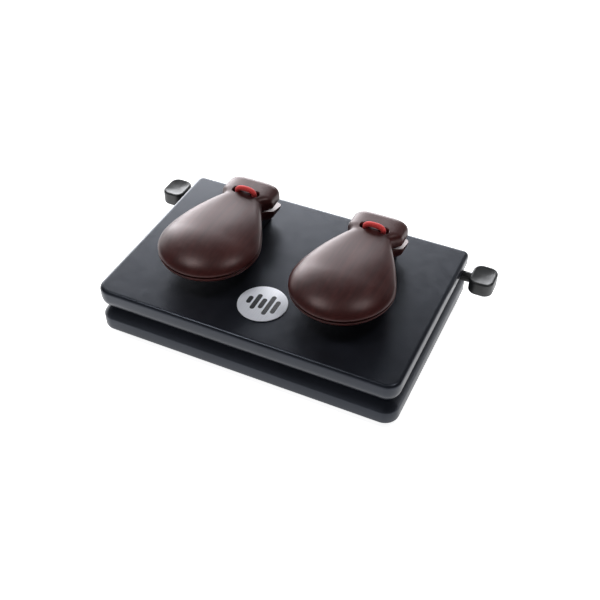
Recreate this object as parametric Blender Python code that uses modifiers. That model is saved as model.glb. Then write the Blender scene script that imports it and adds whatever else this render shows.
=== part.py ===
"""Table castanet machine: two pairs of castanets on a board made of two slabs.

Metres, +Z up, the player sits at -Y. The origin is on the surface that the feet stand on,
under the middle of the board. The lower shell of each pair is screwed to the board through a
riser. The upper shell rocks on the bridge between the two ears. An elastic cord crosses the
upper ear, runs down through both ears, the riser and the top slab, and winds onto a peg that
turns in the joint between the slabs.
"""

import math

import bmesh
import bpy
from mathutils import Matrix, Vector

MM = 0.001
GAP = 0.3 * MM  # between two pieces that touch

# Board
BOARD_LENGTH = 180.0 * MM
BOARD_DEPTH = 120.4 * MM
SLAB_HEIGHT = 14.45 * MM
CORNER_RADIUS = 7.0 * MM
UPPER_SLAB_ROUNDING = (2.1 * MM, 6.0 * MM)  # top edge, bottom edge
LOWER_SLAB_ROUNDING = (6.0 * MM, 2.2 * MM)

# Feet
FOOT_RADIUS = 6.0 * MM
FOOT_HEIGHT = 2.2 * MM
FOOT_PLACE = (74.0 * MM, 48.0 * MM)

# Castanets, in plan from the middle of the bowl
CASTANET_X = 40.55 * MM
CASTANET_SHIFT = -0.55 * MM  # both pairs sit a little left of the board's middle
BOWL_Y = -14.0 * MM
BOWL_RADIUS = 29.0 * MM
BOWL_HEIGHT = 9.4 * MM
RIM_ABOVE_BOARD = 14.2 * MM
FLANK_ANGLE = math.radians(20.0)  # where the bowl's arc gives way to the flank
NECK_Y = 38.6 * MM
NECK_HALF_WIDTH = 12.9 * MM
NECK_ANGLE = math.radians(28.0)  # of the flank, where it meets the neck
SHOULDER_LENGTH = 6.4 * MM
EAR_END_Y = 57.2 * MM
EAR_HALF_WIDTH = {1: 16.6 * MM, -1: 17.4 * MM}  # of the upper and the lower shell
EAR_CORNER = 4.0 * MM
EAR_HEIGHT = 8.5 * MM
EAR_EDGE_HEIGHT = 7.2 * MM  # the ear's back edge, after its rounding
EAR_ROUNDING = 3.0 * MM
BOWL_POWER = 2.6  # of the superellipse that each cross-section follows
EAR_POWER = 4.4
HOLLOW_RADIUS = 20.5 * MM
HOLLOW_DEPTH = 6.2 * MM
BRIDGE_Y = 41.0 * MM  # the line that the shells rock on
EAR_SLOPE = {1: math.radians(4.0), -1: math.radians(14.0)}  # away from the rim, behind the bridge

# Riser under each lower ear
RISER_SIZE = (23.0 * MM, 23.0 * MM)
RISER_Y = 30.0 * MM
EAR_FLAT = 7.6 * MM  # the lower ear's flat seat, below the rim

# Elastic cord
CORD_RADIUS = 1.6 * MM
CORD_HOLE_RADIUS = 2.6 * MM
CORD_HALF_SPACING = 5.4 * MM
HOLE_HALF_SPACING = 6.0 * MM
CORD_SHIFT = 0.9 * MM  # of the ears and their holes, from the middle of the bowls
CORD_Y = 29.0 * MM
CORD_BEND = 3.4 * MM
ARCH_RISE = 1.9 * MM
ARCH_POWER = 0.75  # below 1 squares the arch

# Pegs
PEG_Y = 50.2 * MM
PEG_ABOVE_SEAM = 3.8 * MM
SHAFT_RADIUS = 3.0 * MM
SPOOL_RADIUS = 1.0 * MM  # where the cord winds
SHAFT_INNER_X = 12.0 * MM
BUTTON_INNER_X = 94.9 * MM
BUTTON_SIZE = (14.4 * MM, 17.6 * MM, 9.0 * MM)
BUTTON_CHAMFER = 4.2 * MM
BUTTON_ROUNDING = 2.0 * MM
BUTTON_DISH = (5.2 * MM, 6.2 * MM, 0.9 * MM)
BUTTON_BORE_DEPTH = 8.0 * MM
BUSH_RADIUS = 4.5 * MM
BUSH_LENGTH = 8.0 * MM
OUTER_BUSH_X = 79.5 * MM
INNER_BUSH_X = 20.5 * MM
CLIP_RADIUS = 4.6 * MM
CLIP_THICKNESS = 1.2 * MM
POCKET_RADIUS = 5.3 * MM  # the room round the windings
POCKET_LENGTH = 22.0 * MM
WINDING_TURNS = 2

# Screws
SCREW_RADIUS = 1.7 * MM
SCREW_HOLE_RADIUS = 2.0 * MM
SCREW_HEAD_RADIUS = 3.0 * MM
SCREW_HEAD_HEIGHT = 2.2 * MM
BOARD_SCREW_PLACE = (62.0 * MM, 42.0 * MM)
BOARD_SCREW_LENGTH = 18.0 * MM
SHELL_SCREW_Y = (22.0 * MM, 36.6 * MM)
SHELL_SCREW_REACH = 3.6 * MM  # into the lower ear

# Badge
BADGE_RADIUS = 14.0 * MM
BADGE_X = 0.8 * MM
BADGE_Y = -31.8 * MM
BADGE_THICKNESS = 0.3 * MM

# Heights that follow from the above
LOWER_SLAB_Z = FOOT_HEIGHT + GAP
UPPER_SLAB_Z = LOWER_SLAB_Z + SLAB_HEIGHT + GAP
BOARD_TOP_Z = UPPER_SLAB_Z + SLAB_HEIGHT
SEAM_Z = UPPER_SLAB_Z - GAP / 2
RIM_Z = BOARD_TOP_Z + RIM_ABOVE_BOARD
PEG_Z = SEAM_Z + PEG_ABOVE_SEAM
WINDING_RADIUS = SPOOL_RADIUS + GAP + CORD_RADIUS  # to the cord's middle
SLOT_CEILING_Z = PEG_Z + WINDING_RADIUS + CORD_HOLE_RADIUS

# Smoothness of round shapes
ROUND_STEPS = 20
SMALL_STEPS = 14
SECTION_POINTS = 17

SIDES = (("left", -1), ("right", 1))


# ---------------------------------------------------------------- helpers


def collection(name, hidden=False):
    made = bpy.data.collections.new(name)
    bpy.context.scene.collection.children.link(made)
    made.hide_render = hidden
    return made


def clear_scene():
    for old in list(bpy.data.objects):
        bpy.data.objects.remove(old, do_unlink=True)


def material(name, colour, roughness, metallic=0.0):
    made = bpy.data.materials.new(name)
    made.use_nodes = True
    shader = made.node_tree.nodes["Principled BSDF"]
    shader.inputs["Base Color"].default_value = (*colour, 1.0)
    shader.inputs["Roughness"].default_value = roughness
    shader.inputs["Metallic"].default_value = metallic
    return made


def axis_empty(name, location):
    """An empty on a joint's axis, which carries the pieces that turn about it."""
    made = bpy.data.objects.new(name, None)
    made.location = location
    made.empty_display_size = 5 * MM
    parts.objects.link(made)
    return made


def place(thing, location, look, parent=None):
    """Puts a piece at a world location, under a parent empty if it moves."""
    if parent:
        thing.parent = parent
        location = Vector(location) - parent.location
    thing.location = location
    thing.data.materials.append(look)
    parts.objects.link(thing)
    return thing


def mesh_object(name, shape):
    mesh = bpy.data.meshes.new(name)
    bmesh.ops.recalc_face_normals(shape, faces=shape.faces)
    shape.to_mesh(mesh)
    shape.free()
    mesh.shade_smooth()
    mesh.set_sharp_from_angle(angle=math.radians(35))
    return bpy.data.objects.new(name, mesh)


def cutter(shape, location, rotation=(0.0, 0.0, 0.0)):
    """Wraps a closed bmesh as a hidden cutting object at a world location."""
    made = mesh_object(f"cutter_{len(cutters.objects):02d}", shape)
    made.location = location
    made.rotation_euler = rotation
    made.hide_render = True
    made.display_type = "WIRE"
    cutters.objects.link(made)
    return made


def cut(target, tools):
    for tool in tools:
        step = target.modifiers.new(tool.name, "BOOLEAN")
        step.operation = "DIFFERENCE"
        step.object = tool


def box_shape(size):
    shape = bmesh.new()
    bmesh.ops.create_cube(shape, size=1.0)
    bmesh.ops.scale(shape, vec=size, verts=shape.verts)
    return shape


def rod_shape(radius, length, steps=SMALL_STEPS, along="Z"):
    shape = bmesh.new()
    bmesh.ops.create_cone(
        shape, cap_ends=True, segments=steps, radius1=radius, radius2=radius, depth=length
    )
    turn = {"X": Matrix.Rotation(math.pi / 2, 3, "Y"), "Z": Matrix.Identity(3)}[along]
    bmesh.ops.rotate(shape, matrix=turn, verts=shape.verts)
    return shape


def ball_shape(radii, steps=ROUND_STEPS):
    shape = bmesh.new()
    bmesh.ops.create_uvsphere(shape, u_segments=steps, v_segments=steps // 2, radius=1.0)
    bmesh.ops.scale(shape, vec=radii, verts=shape.verts)
    return shape


def edges_where(shape, test):
    return [edge for edge in shape.edges if all(test(vert.co) for vert in edge.verts)]


def bevel(shape, edges, width, segments):
    bmesh.ops.bevel(
        shape, geom=edges, offset=width, offset_type="OFFSET", segments=segments, profile=0.5,
        affect="EDGES", clamp_overlap=True,
    )


def rounded_slab_shape(size, corner, top, bottom, segments=(6, 4)):
    """A plate with round corners in plan and its own rounding on the top and bottom edges."""
    shape = box_shape(size)
    half = Vector(size) / 2
    uprights = [e for e in shape.edges if abs(e.verts[0].co.z - e.verts[1].co.z) > half.z]
    bevel(shape, uprights, corner, segments[0])
    if top:
        bevel(shape, edges_where(shape, lambda p: p.z > half.z - MM / 1000), top, segments[1])
    if bottom:
        bevel(shape, edges_where(shape, lambda p: p.z < MM / 1000 - half.z), bottom, segments[1])
    return shape


def turned(name, profile, closed, steps=ROUND_STEPS):
    """A solid of revolution about Z from (radius, z) points that run top to bottom outside."""
    shape = bmesh.new()
    verts = [shape.verts.new((radius, 0.0, z)) for radius, z in profile]
    pairs = list(zip(verts, verts[1:]))
    if closed:
        pairs.append((verts[-1], verts[0]))
    for pair in pairs:
        shape.edges.new(pair)
    mesh = bpy.data.meshes.new(name)
    shape.to_mesh(mesh)
    shape.free()
    made = bpy.data.objects.new(name, mesh)
    screw = made.modifiers.new("turn", "SCREW")
    screw.steps = steps
    screw.render_steps = steps
    screw.use_merge_vertices = True
    screw.merge_threshold = 0.00001
    screw.use_smooth_shade = True
    return made


# ---------------------------------------------------------------- board


def upper_slab():
    shape = rounded_slab_shape(
        (BOARD_LENGTH, BOARD_DEPTH, SLAB_HEIGHT), CORNER_RADIUS, *UPPER_SLAB_ROUNDING
    )
    slab = mesh_object("upper_slab", shape)
    place(slab, (0, 0, UPPER_SLAB_Z + SLAB_HEIGHT / 2), paint_black)
    cut(slab, seam_cutters() + upper_slab_holes())


def lower_slab():
    shape = rounded_slab_shape(
        (BOARD_LENGTH, BOARD_DEPTH, SLAB_HEIGHT), CORNER_RADIUS, *LOWER_SLAB_ROUNDING
    )
    slab = mesh_object("lower_slab", shape)
    place(slab, (0, 0, LOWER_SLAB_Z + SLAB_HEIGHT / 2), paint_black)
    cut(slab, seam_cutters() + lower_slab_holes())


def seam_cutters():
    """The room for both pegs, half of it in each slab."""
    tools = []
    for _, side in SIDES:
        outer_x = BOARD_LENGTH / 2 + 2 * MM
        inner_x = SHAFT_INNER_X - 2 * GAP
        channel = rod_shape(SHAFT_RADIUS + 2 * GAP, outer_x - inner_x, along="X")
        tools.append(cutter(channel, (side * (outer_x + inner_x) / 2, PEG_Y, PEG_Z)))
        for bush_x in (OUTER_BUSH_X, INNER_BUSH_X):
            seat = rod_shape(BUSH_RADIUS + GAP, BUSH_LENGTH + 2 * GAP, along="X")
            tools.append(cutter(seat, (side * bush_x, PEG_Y, PEG_Z)))
        seat = rod_shape(CLIP_RADIUS + 2 * GAP, CLIP_THICKNESS + 4 * GAP, along="X")
        tools.append(cutter(seat, (side * clip_x(), PEG_Y, PEG_Z)))
        pocket = rod_shape(POCKET_RADIUS, POCKET_LENGTH, ROUND_STEPS, along="X")
        tools.append(cutter(pocket, (cord_x(side), PEG_Y, PEG_Z)))
    return tools


def clip_x():
    return INNER_BUSH_X - BUSH_LENGTH / 2 - 2 * GAP - CLIP_THICKNESS / 2


def upper_slab_holes():
    tools = []
    for _, side in SIDES:
        x = cord_x(side)
        for offset in (-HOLE_HALF_SPACING, HOLE_HALF_SPACING):
            hole = rod_shape(CORD_HOLE_RADIUS, 2 * SLAB_HEIGHT)
            tools.append(cutter(hole, (x + offset, CORD_Y, BOARD_TOP_Z)))
            tools.append(cord_slot(x + offset))
        for y in SHELL_SCREW_Y:
            hole = rod_shape(SCREW_HOLE_RADIUS, 2 * SLAB_HEIGHT)
            tools.append(cutter(hole, (x, y, BOARD_TOP_Z)))
            counterbore = rod_shape(SCREW_HEAD_RADIUS + GAP, 2 * (SLOT_CEILING_Z - UPPER_SLAB_Z))
            tools.append(cutter(counterbore, (x, y, UPPER_SLAB_Z)))
    for x, y in screw_places():
        pilot = rod_shape(SCREW_HOLE_RADIUS, 2 * (board_screw_top() + GAP - UPPER_SLAB_Z))
        tools.append(cutter(pilot, (x, y, UPPER_SLAB_Z)))
    return tools


def cord_slot(x):
    """The groove in the upper slab's underside that leads one cord back to the peg."""
    front = CORD_Y - CORD_HOLE_RADIUS
    back = PEG_Y - POCKET_RADIUS / 2
    size = (2 * CORD_HOLE_RADIUS, back - front, 2 * (SLOT_CEILING_Z - UPPER_SLAB_Z))
    return cutter(box_shape(size), (x, (front + back) / 2, UPPER_SLAB_Z))


def lower_slab_holes():
    tools = []
    for x, y in screw_places():
        tools.append(cutter(rod_shape(SCREW_HOLE_RADIUS, 3 * SLAB_HEIGHT), (x, y, LOWER_SLAB_Z)))
        sink = rod_shape(SCREW_HEAD_RADIUS + GAP, 2 * (SCREW_HEAD_HEIGHT + 2 * GAP))
        tools.append(cutter(sink, (x, y, LOWER_SLAB_Z)))
    return tools


def screw_places():
    x, y = BOARD_SCREW_PLACE
    return [(sx * x, sy * y) for sx in (-1, 1) for sy in (-1, 1)]


def board_screw_top():
    return LOWER_SLAB_Z + GAP + BOARD_SCREW_LENGTH


def screw(name, length, location, look):
    """A pan-head screw, head down, with its shank pointing up and a pointed tip."""
    tip = 2.5 * SCREW_RADIUS
    profile = [
        (0.0, length),
        (SCREW_RADIUS, length - tip),
        (SCREW_RADIUS, SCREW_HEAD_HEIGHT),
        (SCREW_HEAD_RADIUS, SCREW_HEAD_HEIGHT),
        (SCREW_HEAD_RADIUS, SCREW_HEAD_HEIGHT * 0.35),
        (SCREW_HEAD_RADIUS * 0.7, 0.0),
        (0.0, 0.0),
    ]
    place(turned(name, profile, closed=False, steps=12), location, look)


def board_screws():
    for number, (x, y) in enumerate(screw_places(), start=1):
        screw(f"board_screw_{number}", BOARD_SCREW_LENGTH, (x, y, LOWER_SLAB_Z + GAP), steel)


def feet():
    x, y = FOOT_PLACE
    rounding = 0.6 * MM
    for row, sy in (("front", -1), ("back", 1)):
        for name, side in SIDES:
            profile = [
                (0.0, FOOT_HEIGHT),
                (FOOT_RADIUS, FOOT_HEIGHT),
                (FOOT_RADIUS, rounding),
                (FOOT_RADIUS - rounding, 0.0),
                (0.0, 0.0),
            ]
            foot = turned(f"{row}_{name}_foot", profile, closed=False)
            place(foot, (side * x, sy * y, 0.0), rubber)


def badge():
    disc = mesh_object("badge", rod_shape(BADGE_RADIUS, BADGE_THICKNESS, steps=48))
    place(disc, (BADGE_X, BADGE_Y, BOARD_TOP_Z + GAP + BADGE_THICKNESS / 2), badge_foil)


# ---------------------------------------------------------------- castanets


def castanet_x(side):
    return side * CASTANET_X + CASTANET_SHIFT


def cord_x(side):
    """The middle of the two cord holes, which the riser and the screws line up with."""
    return castanet_x(side) + CORD_SHIFT


def smooth_step(t):
    t = min(max(t, 0.0), 1.0)
    return t * t * (3.0 - 2.0 * t)


def half_outline(ear_half_width):
    """(half width, y) from the bowl's tip, round the bowl, along the flank, to the ear's end."""
    points = []
    arc_steps = 16
    for step in range(arc_steps + 1):
        angle = -math.pi / 2 + (FLANK_ANGLE + math.pi / 2) * step / arc_steps
        points.append((BOWL_RADIUS * math.cos(angle), BOWL_RADIUS * math.sin(angle)))
    start = Vector(points[-1])
    tangent = Vector((-math.sin(FLANK_ANGLE), math.cos(FLANK_ANGLE)))
    neck = Vector((NECK_HALF_WIDTH, NECK_Y))
    into_neck = Vector((-math.sin(NECK_ANGLE), math.cos(NECK_ANGLE)))
    reach = (neck - start).length
    handles = [start, start + tangent * reach * 0.4, neck - into_neck * reach * 0.3, neck]
    flank_steps = 6
    for step in range(1, flank_steps + 1):
        t = step / flank_steps
        weights = [(1 - t) ** 3, 3 * t * (1 - t) ** 2, 3 * t * t * (1 - t), t**3]
        points.append(tuple(sum((w * h for w, h in zip(weights, handles)), Vector((0, 0)))))
    corner_y = EAR_END_Y - EAR_CORNER
    flare_steps = 4
    for step in range(1, flare_steps + 1):
        t = step / flare_steps
        width = NECK_HALF_WIDTH + (ear_half_width - NECK_HALF_WIDTH) * smooth_step(t)
        points.append((width, NECK_Y + SHOULDER_LENGTH * t))
    corner_steps = 4
    for step in range(corner_steps + 1):
        angle = math.pi / 2 * step / corner_steps
        width = ear_half_width - EAR_CORNER * (1 - math.cos(angle))
        points.append((width, corner_y + EAR_CORNER * math.sin(angle)))
    return points


def ridge_height(y):
    """Height of the shell's ridge above its rim, along the middle."""
    if y < 0:
        return BOWL_HEIGHT * section_height(y / BOWL_RADIUS, BOWL_POWER)
    height = BOWL_HEIGHT + (EAR_HEIGHT - BOWL_HEIGHT) * smooth_step(y / NECK_Y)
    into_rounding = max(0.0, 1.0 - (EAR_END_Y - y) / EAR_ROUNDING)
    drop = 1.0 - math.sqrt(max(0.0, 1.0 - into_rounding**2))
    return height - (EAR_HEIGHT - EAR_EDGE_HEIGHT) * drop


def section_power(y):
    """The sections grow from a round bowl to a square-shouldered ear."""
    return BOWL_POWER + (EAR_POWER - BOWL_POWER) * smooth_step(y / NECK_Y)


def section_height(across, power):
    return max(0.0, 1.0 - abs(across) ** power) ** (1.0 / (power - 0.6))


def ear_shift(y):
    """The ears sit over the cord, a little to the right of the bowls' middle."""
    return CORD_SHIFT * smooth_step((y - NECK_Y) / (2 * SHOULDER_LENGTH) + 0.5)


def shell_shape(up):
    """Lofts the shell through its cross-sections. up is 1 for the upper shell, -1 for the lower."""
    shape = bmesh.new()
    rows = []
    for width, y in half_outline(EAR_HALF_WIDTH[up]):
        if width < MM / 100:
            rows.append([shape.verts.new((0.0, y, 0.0))])
            continue
        row = []
        for point in range(SECTION_POINTS):
            across = math.sin((point / (SECTION_POINTS - 1) - 0.5) * math.pi)
            z = up * ridge_height(y) * section_height(across, section_power(y))
            row.append(shape.verts.new((across * width + ear_shift(y), y, z)))
        rows.append(row)
    tip, first = rows[0][0], rows[1]
    for a, b in zip(first, first[1:]):
        shape.faces.new((tip, a, b))
    shape.faces.new((tip, first[-1], first[0]))
    for row, after in zip(rows[1:], rows[2:]):
        for point in range(SECTION_POINTS - 1):
            shape.faces.new((row[point], after[point], after[point + 1], row[point + 1]))
        shape.faces.new((row[0], row[-1], after[-1], after[0]))
    shape.faces.new(rows[-1])
    bmesh.ops.triangulate(shape, faces=shape.faces)  # the boolean cuts need flat faces
    return shape


def ear_wedge(x, up):
    """Cuts the ear's inner face so that it falls away from the bridge towards the back."""
    length, height, lead = 30 * MM, 12 * MM, 4 * MM
    shape = box_shape((60 * MM, length, height))
    bmesh.ops.translate(shape, vec=(0, length / 2 - lead, -up * height / 2), verts=shape.verts)
    rim = RIM_Z + up * GAP
    return cutter(shape, (x, BOWL_Y + BRIDGE_Y, rim), (up * EAR_SLOPE[up], 0.0, 0.0))


def cord_holes(x, low, high):
    tools = []
    for offset in (-HOLE_HALF_SPACING, HOLE_HALF_SPACING):
        hole = rod_shape(CORD_HOLE_RADIUS, high - low)
        tools.append(cutter(hole, (x + offset, CORD_Y, (low + high) / 2)))
    return tools


def castanet_shell(name, side, up, look, parent=None):
    x = castanet_x(side)
    rim = RIM_Z + up * GAP
    shell = place(mesh_object(name, shell_shape(up)), (x, BOWL_Y, rim), look, parent)
    hollow = cutter(ball_shape((HOLLOW_RADIUS, HOLLOW_RADIUS, HOLLOW_DEPTH)), (x, BOWL_Y, rim))
    low, high = sorted((RIM_Z - up * 5 * MM, RIM_Z + up * 20 * MM))
    cut(shell, [hollow, ear_wedge(x, up)] + cord_holes(cord_x(side), low, high))
    return shell


def seat_lower_shell(shell, side):
    """Flattens the underside of the lower ear and bores it for its two screws."""
    x = cord_x(side)
    flat = RIM_Z - GAP - EAR_FLAT
    depth = 10 * MM
    box = box_shape((60 * MM, 60 * MM, depth))
    front = RISER_Y - RISER_SIZE[1] / 2 - 2.4 * MM
    tools = [cutter(box, (x, front + 30 * MM, flat - depth / 2))]
    for y in SHELL_SCREW_Y:
        bore = rod_shape(SCREW_HOLE_RADIUS, 2 * (SHELL_SCREW_REACH + 2 * GAP))
        tools.append(cutter(bore, (x, y, flat)))
    cut(shell, tools)


def riser(name, side):
    """The block that carries the lower ear above the board."""
    x = cord_x(side)
    low = BOARD_TOP_Z + GAP
    high = RIM_Z - GAP - EAR_FLAT - GAP
    shape = rounded_slab_shape((*RISER_SIZE, high - low), 3 * MM, 0, 0, (4, 1))
    block = place(mesh_object(name, shape), (x, RISER_Y, (low + high) / 2), paint_black)
    bores = [
        cutter(rod_shape(SCREW_HOLE_RADIUS, 20 * MM), (x, y, (low + high) / 2))
        for y in SHELL_SCREW_Y
    ]
    cut(block, bores + cord_holes(x, low - 5 * MM, high + 5 * MM))


def shell_screws(prefix, side):
    head_z = SLOT_CEILING_Z - GAP - SCREW_HEAD_HEIGHT
    tip_z = RIM_Z - GAP - EAR_FLAT + SHELL_SCREW_REACH
    for label, y in zip(("front", "back"), SHELL_SCREW_Y):
        name = f"{prefix}_{label}_shell_screw"
        screw(name, tip_z - head_z, (cord_x(side), y, head_z), steel)


# ---------------------------------------------------------------- cord


def tube(name, points, parent=None):
    """The elastic cord along a list of world points."""
    curve = bpy.data.curves.new(name, "CURVE")
    curve.dimensions = "3D"
    curve.bevel_depth = CORD_RADIUS
    curve.bevel_resolution = 2
    curve.use_fill_caps = True
    spline = curve.splines.new("POLY")
    spline.points.add(len(points) - 1)
    for slot, point in zip(spline.points, points):
        slot.co = (*(Vector(point) - Vector(points[0])), 1.0)
    return place(bpy.data.objects.new(name, curve), points[0], cord_red, parent)


def ear_top_at_cord():
    """Height of the upper ear's surface at the cord's holes."""
    across = CORD_HALF_SPACING / EAR_HALF_WIDTH[1]
    return RIM_Z + GAP + EAR_HEIGHT * section_height(across, EAR_POWER)


def cord_loop(name, side, parent):
    """The stretch that rides on the upper ear: up one hole, over in an arch, down the other."""
    x = cord_x(side)
    low = RIM_Z + 3 * GAP
    spring = ear_top_at_cord() + 0.3 * MM
    points = [(x - CORD_HALF_SPACING, CORD_Y, low)]
    arch_steps = 14
    for step in range(arch_steps + 1):
        angle = math.pi * step / arch_steps
        across = -math.copysign(abs(math.cos(angle)) ** ARCH_POWER, math.cos(angle))
        rise = ARCH_RISE * math.sin(angle) ** ARCH_POWER
        points.append((x + CORD_HALF_SPACING * across, CORD_Y, spring + rise))
    points.append((x + CORD_HALF_SPACING, CORD_Y, low))
    tube(name, points, parent)


def cord_leg(name, x):
    """From the lower ear down through the riser and the slab, then back to the peg."""
    run_z = PEG_Z + WINDING_RADIUS
    points = [(x, CORD_Y, RIM_Z - 3 * GAP), (x, CORD_Y, (RIM_Z + run_z) / 2)]
    bend_steps = 5
    for step in range(bend_steps + 1):
        angle = math.pi / 2 * step / bend_steps
        y = CORD_Y + CORD_BEND * (1 - math.cos(angle))
        z = run_z + CORD_BEND * (1 - math.sin(angle))
        points.append((x, y, z))
    winding_top = WINDING_RADIUS + CORD_RADIUS
    winding_reach = math.sqrt(winding_top**2 - (WINDING_RADIUS - CORD_RADIUS) ** 2)
    points.append((x, PEG_Y - winding_reach - GAP, run_z))
    tube(name, points)


def cord_winding(name, x, parent):
    """The turns of cord side by side on the peg, as one turned solid."""
    half = WINDING_TURNS * CORD_RADIUS
    core = SPOOL_RADIUS + GAP
    profile = [(core, half), (WINDING_RADIUS, half)]
    bump_steps = 5
    for turn in range(WINDING_TURNS):
        middle = half - (2 * turn + 1) * CORD_RADIUS
        for step in range(1, bump_steps):
            angle = math.pi * step / bump_steps
            out = WINDING_RADIUS + CORD_RADIUS * math.sin(angle)
            profile.append((out, middle + CORD_RADIUS * math.cos(angle)))
        profile.append((WINDING_RADIUS, middle - CORD_RADIUS))
    profile.append((core, -half))
    coil = turned(name, profile, closed=True, steps=SMALL_STEPS)
    coil.rotation_euler = (0.0, math.pi / 2, 0.0)
    place(coil, (x, PEG_Y, PEG_Z), cord_red, parent)


# ---------------------------------------------------------------- pegs


def ring(name, inner, outer, length, x, look, parent=None):
    """A sleeve along the peg's axis."""
    half = length / 2
    profile = [(inner, half), (outer, half), (outer, -half), (inner, -half)]
    sleeve = turned(name, profile, closed=True)
    sleeve.rotation_euler = (0.0, math.pi / 2, 0.0)
    place(sleeve, (x, PEG_Y, PEG_Z), look, parent)


def peg_shaft(name, side, parent):
    """A rod with a thinner spool under each winding."""
    middle = abs(cord_x(side))
    profile = [(0.0, SHAFT_INNER_X), (SHAFT_RADIUS, SHAFT_INNER_X)]
    for offset in (-CORD_HALF_SPACING, CORD_HALF_SPACING):
        for radii, end in (((SHAFT_RADIUS, SPOOL_RADIUS), -1), ((SPOOL_RADIUS, SHAFT_RADIUS), 1)):
            step_x = middle + offset + end * spool_half_length()
            profile += [(radii[0], step_x), (radii[1], step_x)]
    end_x = BUTTON_INNER_X + BUTTON_BORE_DEPTH - GAP
    profile += [(SHAFT_RADIUS, end_x), (0.0, end_x)]
    outward = [(radius, x) for radius, x in reversed(profile)]
    shaft = turned(name, outward, closed=False, steps=SMALL_STEPS)
    shaft.rotation_euler = (0.0, side * math.pi / 2, 0.0)
    place(shaft, (0.0, PEG_Y, PEG_Z), peg_black, parent)


def spool_half_length():
    return WINDING_TURNS * CORD_RADIUS + GAP


def peg_button(name, side, parent):
    """The eight-sided thumb button, dished on both faces and bored for its shaft."""
    shape = rounded_slab_shape(
        BUTTON_SIZE, BUTTON_CHAMFER, BUTTON_ROUNDING, BUTTON_ROUNDING, (2, 3)
    )
    middle_x = BUTTON_INNER_X + BUTTON_SIZE[0] / 2
    button = place(mesh_object(name, shape), (side * middle_x, PEG_Y, PEG_Z), peg_black, parent)
    bore = rod_shape(SHAFT_RADIUS + GAP, 2 * BUTTON_BORE_DEPTH, along="X")
    tools = [cutter(bore, (side * BUTTON_INNER_X, PEG_Y, PEG_Z))]
    for face in (-1, 1):
        dish_z = PEG_Z + face * BUTTON_SIZE[2] / 2
        tools.append(cutter(ball_shape(BUTTON_DISH, SMALL_STEPS), (side * middle_x, PEG_Y, dish_z)))
    cut(button, tools)


# ---------------------------------------------------------------- assembly


def castanet_pair(prefix, side):
    x = castanet_x(side)
    hinge = axis_empty(f"{prefix}_castanet_axis", (x, BOWL_Y + BRIDGE_Y, RIM_Z))
    castanet_shell(f"{prefix}_upper_shell", side, 1, lacquer, hinge)
    lower = castanet_shell(f"{prefix}_lower_shell", side, -1, lacquer)
    seat_lower_shell(lower, side)
    riser(f"{prefix}_riser", side)
    shell_screws(prefix, side)
    cord_loop(f"{prefix}_cord_loop", side, hinge)


def peg_assembly(prefix, side):
    axis = axis_empty(f"{prefix}_peg_axis", (side * OUTER_BUSH_X, PEG_Y, PEG_Z))
    peg_shaft(f"{prefix}_peg_shaft", side, axis)
    peg_button(f"{prefix}_peg_button", side, axis)
    bore = SHAFT_RADIUS + GAP
    ring(f"{prefix}_outer_bush", bore, BUSH_RADIUS, BUSH_LENGTH, side * OUTER_BUSH_X, brass)
    ring(f"{prefix}_inner_bush", bore, BUSH_RADIUS, BUSH_LENGTH, side * INNER_BUSH_X, brass)
    ring(f"{prefix}_peg_clip", bore, CLIP_RADIUS, CLIP_THICKNESS, side * clip_x(), steel, axis)
    for label, offset in (("a", -CORD_HALF_SPACING), ("b", CORD_HALF_SPACING)):
        x = cord_x(side) + offset
        cord_leg(f"{prefix}_cord_leg_{label}", x)
        cord_winding(f"{prefix}_cord_winding_{label}", x, axis)


clear_scene()
parts = collection("castanet_machine")
cutters = collection("cutters", hidden=True)

paint_black = material("black_satin_paint", (0.022, 0.024, 0.028), 0.42)
lacquer = material("brown_lacquer", (0.075, 0.028, 0.022), 0.3)
cord_red = material("red_elastic", (0.72, 0.03, 0.02), 0.75)
peg_black = material("black_peg", (0.03, 0.033, 0.036), 0.4)
brass = material("brass", (0.72, 0.52, 0.24), 0.35, 1.0)
steel = material("steel", (0.6, 0.6, 0.62), 0.35, 1.0)
rubber = material("rubber", (0.03, 0.03, 0.03), 0.85)
badge_foil = material("badge_foil", (0.78, 0.79, 0.82), 0.45)

upper_slab()
lower_slab()
board_screws()
feet()
badge()
for label_of_side, sign in SIDES:
    castanet_pair(label_of_side, sign)
    peg_assembly(label_of_side, sign)
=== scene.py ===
"""Looks of the table castanet machine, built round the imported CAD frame.

Metres, +Z up, in the frame's own coordinates. Places and outer sizes come from the CAD nodes'
boxes. Dimensions that a box doesn't show are named below with the CAD's names. Some of them
follow the photo more closely than the CAD does, and their comments give the CAD's value.
"""

import math

import bmesh
import bpy
from mathutils import Matrix, Vector

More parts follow.
